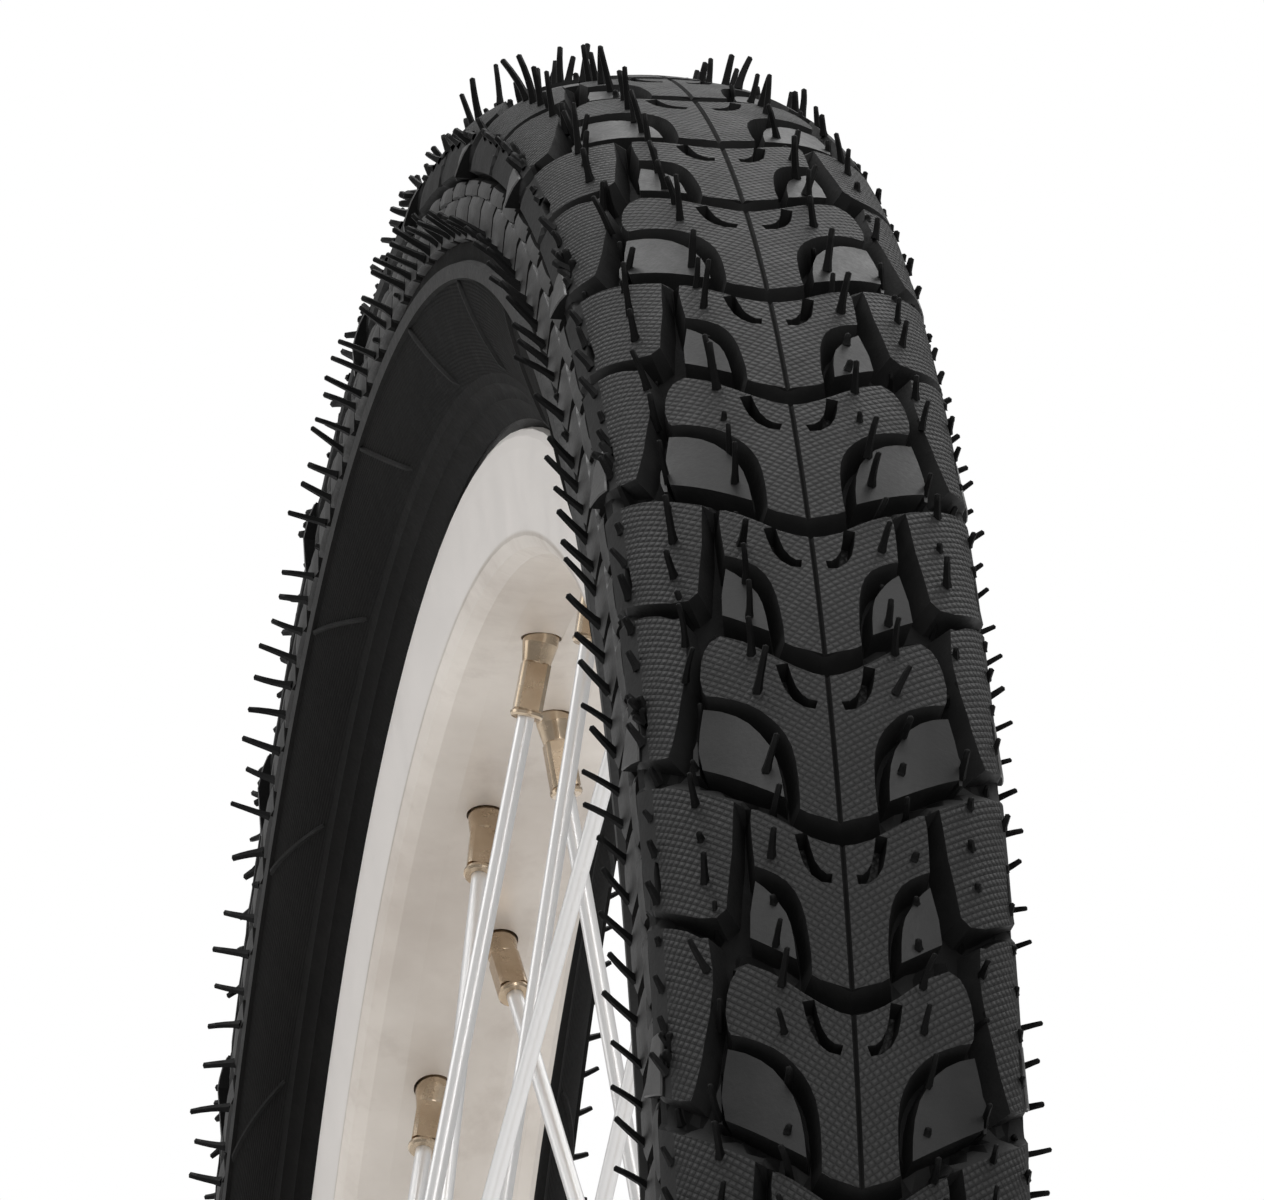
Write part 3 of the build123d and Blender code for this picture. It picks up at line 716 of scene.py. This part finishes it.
def side_wall(name, side, node):
    rows = [26.3, 26.7, 27.0, 27.2, 27.4, 27.8, 28.4, 29.1, 29.22, 29.4, 29.8, 30.5, 31.8, 33.1, 34.2, 34.45, 34.75, 35.6, 36.55, 36.68,
            36.95, 37.8, 38.7, 39.0, 40.2, 41.4, 42.6, 43.8, 45.0, 46.2, 47.4, 48.6, 49.6, 50.4, 51.1, 51.6, 52.1, 52.8, 53.5, 53.9, 54.3,
            55.0, 56.0, 57.0]
    cols = np.array([(k + x) * LUG for k in range(PERIODS * 4) for x in (0.02, 0.06, 0.16, 0.34, 0.38, 0.42, 0.52, 0.56, 0.66, 0.78, 0.88, 0.92)])
    S, U = np.meshgrid(np.array(rows), cols, indexing="ij")
    h = side_height(S, U)
    pos = place(S.ravel() * side, U.ravel(), -h.ravel())
    nr, nc = len(rows), len(cols)
    inner = [(15.0, 214.8), (19.05, 223.4), (19.4, 228.0), (18.55, 232.6), (17.05, 236.2), (16.0, 238.0)]
    th = (cols + U0) / RO
    extra = []
    for y, r in inner:
        extra.append(np.stack([r * np.sin(th), np.full(nc, y * side), r * np.cos(th)], -1) * 0.001)
    allp = np.concatenate([pos] + extra)
    total = nr + len(inner)
    i = np.arange(total)[:, None] * nc + np.arange(nc)[None]
    i2 = np.roll(i, -1, axis=1)
    j = np.roll(i, -1, axis=0)
    j2 = np.roll(i2, -1, axis=0)
    quads = np.stack([i, i2, j2, j], -1).reshape(-1, 4)
    if side > 0:
        quads = quads[:, ::-1]
    mid = np.concatenate([np.array(rows), np.zeros(len(inner))])
    mats = np.zeros((total, nc), int)
    hc = (h[:-1] + h[1:]) / 2
    hc = (hc + np.roll(hc, -1, axis=1)) / 2
    for a in range(nr - 1):
        c = (rows[a] + rows[a + 1]) / 2
        if 39.2 < c < 50.4:
            mats[a] = 1
        elif c < 34.5:
            # raised faces take the light lug rubber, painted light; the floor between the lugs keeps the dark sidewall
            # rubber
            mats[a] = np.where(hc[a] > -0.5, 2, 0)
        elif 36.8 < c < 38.8:
            mats[a] = 3
    uvs = np.concatenate([np.stack([S.ravel(), U.ravel()], -1), np.zeros((len(inner) * nc, 2))])
    ob = mesh_object(name, allp, quads, [side_mat, side_hatch, side_lug_painted_light, side_band], mats.ravel(), uvs)
    finish_mesh(ob, 0.0, 30.0)
    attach(ob, "wheel")
    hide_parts(node)
    print(name, len(ob.data.polygons))
    return ob


side_wall("sidewall_relief_left", -1, "sidewall_left")
side_wall("sidewall_relief_right", 1, "sidewall_right")


def ribs(name, side, node):
    """Thin raised lines on one sidewall, one slanting line in each pitch."""
    rv, rf = [], []
    for k in range(PERIODS):
        lines = [[(38.5 + 0.8 * i, (k + 0.07) * P + 2.0 * 0.8 * i) for i in range(15)]]
        for line in lines:
            n0 = len(rv)
            for i, b in enumerate(line):
                a, c = line[max(0, i - 1)], line[min(len(line) - 1, i + 1)]
                t = (c[0] - a[0], c[1] - a[1])
                m = math.hypot(*t)
                nx, ny = -t[1] / m, t[0] / m
                end = 0.2 if i in (0, len(line) - 1) else 1.0
                for off, dep in ((-0.42, 0.45), (-0.16, 0.27 - 0.42 * end), (0.16, 0.27 - 0.42 * end), (0.42, 0.45)):
                    rv.append(place(np.array([(b[0] + nx * off) * side]), np.array([b[1] + ny * off]), np.array([dep]))[0])
            for i in range(len(line) - 1):
                for j in range(3):
                    q = (n0 + 4 * i + j, n0 + 4 * i + j + 1, n0 + 4 * i + j + 5, n0 + 4 * i + j + 4)
                    rf.append(q if side < 0 else q[::-1])
    ob = mesh_object(name, np.array(rv), rf, [side_line])
    finish_mesh(ob, 0.0, 30.0)
    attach(ob, "wheel")


ribs("sidewall_lines_left", -1, "sidewall_left")
ribs("sidewall_lines_right", 1, "sidewall_right")

# ---------------------------------------------------------------- vent hairs
hv, hf = [], []


def hair(s, u, dep, length, lean_s, lean_u, radius, curl, dirmix):
    """One rubber hair rooted at (s, u): a tapered tube that leans and curls."""
    y, r, ny, nr = section(s, dep + 0.15)
    sg = -1.0 if s < 0 else 1.0
    th = (u + U0) / RO
    root = np.array([float(r) * math.sin(th), float(y) * sg, float(r) * math.cos(th)])
    er = np.array([math.sin(th), 0, math.cos(th)])
    et = np.array([math.cos(th), 0, -math.sin(th)])
    ey = np.array([0, 1.0, 0])
    n = er * float(nr) + ey * float(ny) * sg
    n = n * (1 - dirmix) + er * dirmix
    tan = -er * float(ny) + ey * float(nr) * sg
    d = n + tan * lean_s + et * lean_u
    d /= np.linalg.norm(d)
    bend = et * curl[0] + tan * curl[1]
    sides, segs = 5, 4
    p = root.copy()
    a = np.cross(d, et)
    a /= np.linalg.norm(a)
    base = len(hv)
    for i in range(segs + 1):
        t = i / segs
        if i:
            dd = d + bend * t
            dd /= np.linalg.norm(dd)
            p = p + dd * length / segs
        else:
            dd = d
        b = np.cross(dd, a)
        b /= np.linalg.norm(b)
        aa = np.cross(b, dd)
        rad = radius * (1.25 if i == 0 else 1.0 - 0.28 * t)
        for j in range(sides):
            ang = 2 * math.pi * j / sides
            hv.append((p + (aa * math.cos(ang) + b * math.sin(ang)) * rad) * 0.001)
    hv.append((p + dd * radius * 0.35) * 0.001)
    for i in range(segs):
        for j in range(sides):
            k = base + i * sides + j
            k2 = base + i * sides + (j + 1) % sides
            hf.append((k, k2, k2 + sides, k + sides))
    tip = base + (segs + 1) * sides
    for j in range(sides):
        k = base + segs * sides + j
        k2 = base + segs * sides + (j + 1) % sides
        hf.append((k, k2, tip))


def hair_row(s0, step, u_first, js, ju, left, right):
    """One ring of hairs on each side: (shortest, longest, lean across, lean round, spread, radius, share of upright, share cut short)."""
    n = int(round(P * PERIODS / step))
    for side, (lo, hi, ls, lu, jl, radius, dirmix, skip) in ((1, right), (-1, left)):
        su = [(s0 + rng.uniform(-js, js), u_first + k * step + rng.uniform(-ju, ju) + (0.0 if side > 0 else 0.4)) for k in range(n)]
        deps, _ = tread_depth(np.array([a for a, b in su]), np.array([b for a, b in su]))
        for (s, u), dep in zip(su, deps):
            length = rng.uniform(0.6, 1.4) if rng.random() < skip else rng.uniform(lo, hi)
            dep = float(dep) if s < 27 else 0.0
            hair(s * side, u, dep, length, rng.gauss(ls, jl), rng.gauss(lu, jl),
                 radius * rng.uniform(0.85, 1.12), (rng.gauss(0, 0.12), rng.gauss(0.0, 0.12)), dirmix)


HSTEP = P / 8
hair_row(7.9, HSTEP, -1.0, 0.3, 0.5, (3.2, 5.6, 0.0, -0.40, 0.16, 0.47, 0.3, 0.15), (3.0, 5.0, 0.0, -0.40, 0.16, 0.47, 0.5, 0.2))
hair_row(15.7, HSTEP, 1.6, 0.3, 0.5, (3.4, 6.0, 0.0, -0.40, 0.16, 0.48, 0.5, 0.15), (2.4, 3.8, 0.0, -0.35, 0.16, 0.46, 0.95, 0.3))
hair_row(22.4, HSTEP, 0.4, 0.3, 0.6, (1.9, 3.1, 0.0, -0.9, 0.25, 0.52, 0.3, 0.2), (1.3, 2.2, -0.1, -0.3, 0.2, 0.44, 0.75, 0.5))
hair_row(33.6, HSTEP, 2.6, 0.2, 0.6, (4.3, 5.4, -0.62, -0.42, 0.09, 0.50, 0.0, 0.06), (3.0, 3.8, -0.62, -0.02, 0.09, 0.44, 0.0, 0.2))
for k in range(PERIODS):                # clumps in the pockets beside the pads
    for j in range(5):
        hair(-22.3 + rng.uniform(-0.5, 0.4), k * P + 3.6 + rng.uniform(-2.0, 2.2), 0.5, rng.uniform(1.5, 2.9), rng.gauss(0.0, 0.3),
             rng.gauss(-0.6, 0.3), 0.6, (rng.gauss(0, 0.12), rng.gauss(0.0, 0.12)), 0.3)
hairs = mesh_object("vent_hairs", np.array(hv), hf, [hair_mat])
finish_mesh(hairs, 0.0, 60.0)
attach(hairs, "wheel")
print("hairs", len(hf))

# ---------------------------------------------------------------- looks of the carried-over CAD nodes
m_rim = metal("rim_satin_anodised", [(0.36, (0.57, 0.510, 0.454)), (0.5, (0.67, 0.613, 0.553)), (0.64, (0.77, 0.713, 0.650))], (0.40, 0.50),
              metallic=0.45, streak=(1, 9, 1), scale=20.0, bump=0.06, wear=(0.30, (0.42, 0.35, 0.30)), flank=(0.1972, (0.94, 0.895, 0.855)))
m_hub = metal("hub_polished_alloy", [(0.3, (0.60, 0.60, 0.61)), (0.75, (0.74, 0.74, 0.75))], (0.22, 0.32), streak=(1, 7, 1), scale=40.0, wear=(0.2, (0.5, 0.5, 0.5)))
m_spoke = metal("spoke_galvanised", [(0.3, (0.84, 0.83, 0.82)), (0.6, (0.90, 0.89, 0.88)), (0.75, (0.95, 0.94, 0.93))], (0.31, 0.37), metallic=0.65,
                scale=24.0, bump=0.004, fine=500.0, grain=0.2)
m_nipple = metal("nipple_plated_brass", [(0.3, (0.42, 0.32, 0.22)), (0.55, (0.56, 0.45, 0.33)), (0.75, (0.70, 0.60, 0.47))], (0.20, 0.30), metallic=1.0,
                 scale=110.0, bump=0.02, fine=900.0, grain=0.4, wear=(0.22, (0.36, 0.27, 0.17)))
m_brass = metal("valve_brass", [(0.3, (0.62, 0.47, 0.24)), (0.75, (0.76, 0.60, 0.34))], (0.22, 0.34), scale=160.0, wear=(0.25, (0.42, 0.30, 0.16)))
m_bear = metal("bearing_race_steel", [(0.3, (0.50, 0.50, 0.51)), (0.75, (0.62, 0.62, 0.63))], (0.14, 0.24), streak=(1, 8, 1), scale=80.0)
m_ball = metal("ball_chrome_steel", [(0.3, (0.66, 0.66, 0.67)), (0.75, (0.74, 0.74, 0.75))], (0.06, 0.12), scale=300.0, bump=0.04)
m_zinc = metal("zinc_plated_steel", [(0.3, (0.52, 0.53, 0.54)), (0.55, (0.60, 0.61, 0.63)), (0.75, (0.70, 0.71, 0.72))], (0.26, 0.40), scale=120.0, wear=(0.35, (0.40, 0.40, 0.39)))
m_spring = metal("spring_wire", [(0.3, (0.50, 0.50, 0.50)), (0.75, (0.62, 0.62, 0.62))], (0.18, 0.28), scale=300.0)
m_bead = metal("bead_bronzed_wire", [(0.3, (0.38, 0.27, 0.16)), (0.75, (0.50, 0.37, 0.24))], (0.28, 0.40), scale=90.0)
m_case = rubber("casing_fabric", (0.016, 0.015, 0.014), (0.028, 0.026, 0.024), (0.60, 0.75), pattern=weave, dust=0.15)
m_belt = rubber("belt_fabric", (0.05, 0.03, 0.02), (0.09, 0.055, 0.035), (0.60, 0.75), pattern=weave, dust=0.15, dust_col=(0.12, 0.09, 0.07))
m_butyl = rubber("tube_butyl", (0.012, 0.012, 0.012), (0.020, 0.020, 0.020), (0.45, 0.60), dust=0.25, dust_col=(0.30, 0.30, 0.29))
m_tape = rubber("tape_rubber", (0.010, 0.010, 0.010), (0.022, 0.022, 0.022), (0.50, 0.65), dust=0.2)
m_cap = rubber("cap_plastic", (0.012, 0.012, 0.013), (0.020, 0.020, 0.021), (0.30, 0.42), bump=0.1, dust=0.05)
BY_SLOT = {"tread_rubber": tread_groove_painted_shade, "sidewall_rubber": side_mat, "casing_fabric": m_case, "belt_fabric": m_belt, "bead_steel": m_bead,
           "butyl_rubber": m_butyl, "tape_rubber": m_tape, "rim_alloy": m_rim, "hub_alloy": m_hub, "spoke_steel": m_spoke,
           "nipple_brass": m_nipple, "valve_brass": m_brass, "cap_plastic": m_cap, "bearing_steel": m_bear, "ball_steel": m_ball,
           "zinc_steel": m_zinc, "spring_steel": m_spring}
slot_of = {p["node"]: p.get("material_slot") for p in frame["record"].get("subparts", [])}
for name, ob in nodes.items():
    m = BY_SLOT.get(slot_of.get(name), m_zinc)
    if not ob.material_slots:
        ob.data.materials.append(m)
    for slot in ob.material_slots:
        slot.material = m

# ---------------------------------------------------------------- stage, light and camera
WORLD = 0.44
fl = Nodes("studio_floor")
fv_ = fl.coords()
fl.link(fl.ramp(fl.noise(fv_, 3.0), [(0.3, (0.80, 0.80, 0.80)), (0.7, (0.84, 0.84, 0.84))]), fl.bsdf.inputs["Base Color"])
fl.bsdf.inputs["Roughness"].default_value = 0.85
fl.bsdf.inputs["Specular IOR Level"].default_value = 0.15
ring = 96
fv = [(0.0, 0.0, -0.2507)] + [(2.6 * math.cos(2 * math.pi * i / ring), 2.6 * math.sin(2 * math.pi * i / ring), -0.2507) for i in range(ring)]
floor = mesh_object("studio_floor", np.array(fv), [(0, 1 + i, 1 + (i + 1) % ring) for i in range(ring)], [fl.mat])

world = bpy.data.worlds.new("studio")
scene.world = world
world.use_nodes = True
wn = world.node_tree
wn.nodes.clear()
w_out = wn.nodes.new("ShaderNodeOutputWorld")
w_mix = wn.nodes.new("ShaderNodeMixShader")
w_path = wn.nodes.new("ShaderNodeLightPath")
w_seen = wn.nodes.new("ShaderNodeBackground")
w_light = wn.nodes.new("ShaderNodeBackground")
w_seen.inputs["Color"].default_value = (1, 1, 1, 1)
w_seen.inputs["Strength"].default_value = 1.0
w_tc = wn.nodes.new("ShaderNodeTexCoord")
w_sep = wn.nodes.new("ShaderNodeSeparateXYZ")
w_map = wn.nodes.new("ShaderNodeMapRange")
w_light.inputs["Color"].default_value = (1, 1, 1, 1)
w_map.inputs["From Min"].default_value = -0.35
w_map.inputs["From Max"].default_value = 0.65
w_map.inputs["To Min"].default_value = WORLD * 0.35
w_map.inputs["To Max"].default_value = WORLD * 1.35
wn.links.new(w_tc.outputs["Generated"], w_sep.inputs[0])
wn.links.new(w_sep.outputs["Z"], w_map.inputs["Value"])
wn.links.new(w_map.outputs["Result"], w_light.inputs["Strength"])
wn.links.new(w_path.outputs["Is Camera Ray"], w_mix.inputs[0])
wn.links.new(w_light.outputs[0], w_mix.inputs[1])
wn.links.new(w_seen.outputs[0], w_mix.inputs[2])
wn.links.new(w_mix.outputs[0], w_out.inputs["Surface"])


def area(name, loc, target, sx, sy, power, col=(1, 1, 1)):
    l = bpy.data.lights.new(name, "AREA")
    l.shape = "RECTANGLE"
    l.size, l.size_y = sx, sy
    l.energy = power
    l.color = col
    o = bpy.data.objects.new(name, l)
    o.location = loc
    d = Vector(target) - Vector(loc)
    o.rotation_euler = d.to_track_quat("-Z", "Y").to_euler()
    scene.collection.objects.link(o)
    return o


area("key_top", (0.3, 0.15, 2.2), (0.1, 0, 0.1), 1.6, 1.6, 19.0)
area("back_top", (-1.6, 0.6, 1.5), (0.0, 0, 0.22), 1.6, 1.2, 10.5)
area("side_left", (-0.9, -2.4, 0.7), (0.0, 0, 0.1), 1.4, 1.4, 8.0)
area("back_left", (-1.5, -0.95, 2.0), (0.0, 0, 0.15), 1.2, 1.2, 13.0)
area("fill_front", (2.3, 0.35, 1.1), (0.1, 0, 0.1), 1.2, 1.2, 15.5)

D, AZ, EL, YAW, PITCH, ROLL, FPX = 16.01523 * 0.2505, -0.13004, 0.06665, 2.3e-5, 0.04735, -0.04169, 34725.8
cpos = D * np.array([math.cos(EL) * math.cos(AZ), math.cos(EL) * math.sin(AZ), math.sin(EL)])
fwd = -cpos / np.linalg.norm(cpos)
right = np.cross(fwd, [0, 0, 1.0])
right /= np.linalg.norm(right)
up = np.cross(right, fwd)


def turn(v, k, t):
    return v * math.cos(t) + np.cross(k, v) * math.sin(t) + k * np.dot(k, v) * (1 - math.cos(t))


fwd, right = turn(fwd, up, YAW), turn(right, up, YAW)
k = right
fwd, up = turn(fwd, k, PITCH), turn(up, k, PITCH)
right, up = turn(right, fwd, ROLL), turn(up, fwd, ROLL)
cam = bpy.data.cameras.new("camera")
cam.sensor_width = 36.0
cam.lens = FPX / 1264.0 * 36.0
cam.clip_start = 0.1
cam.clip_end = 200.0
cam.dof.use_dof = False
co_ = bpy.data.objects.new("camera", cam)
m = Matrix(((right[0], up[0], -fwd[0], cpos[0]), (right[1], up[1], -fwd[1], cpos[1]), (right[2], up[2], -fwd[2], cpos[2]), (0, 0, 0, 1)))
co_.matrix_world = m
scene.collection.objects.link(co_)
scene.camera = co_
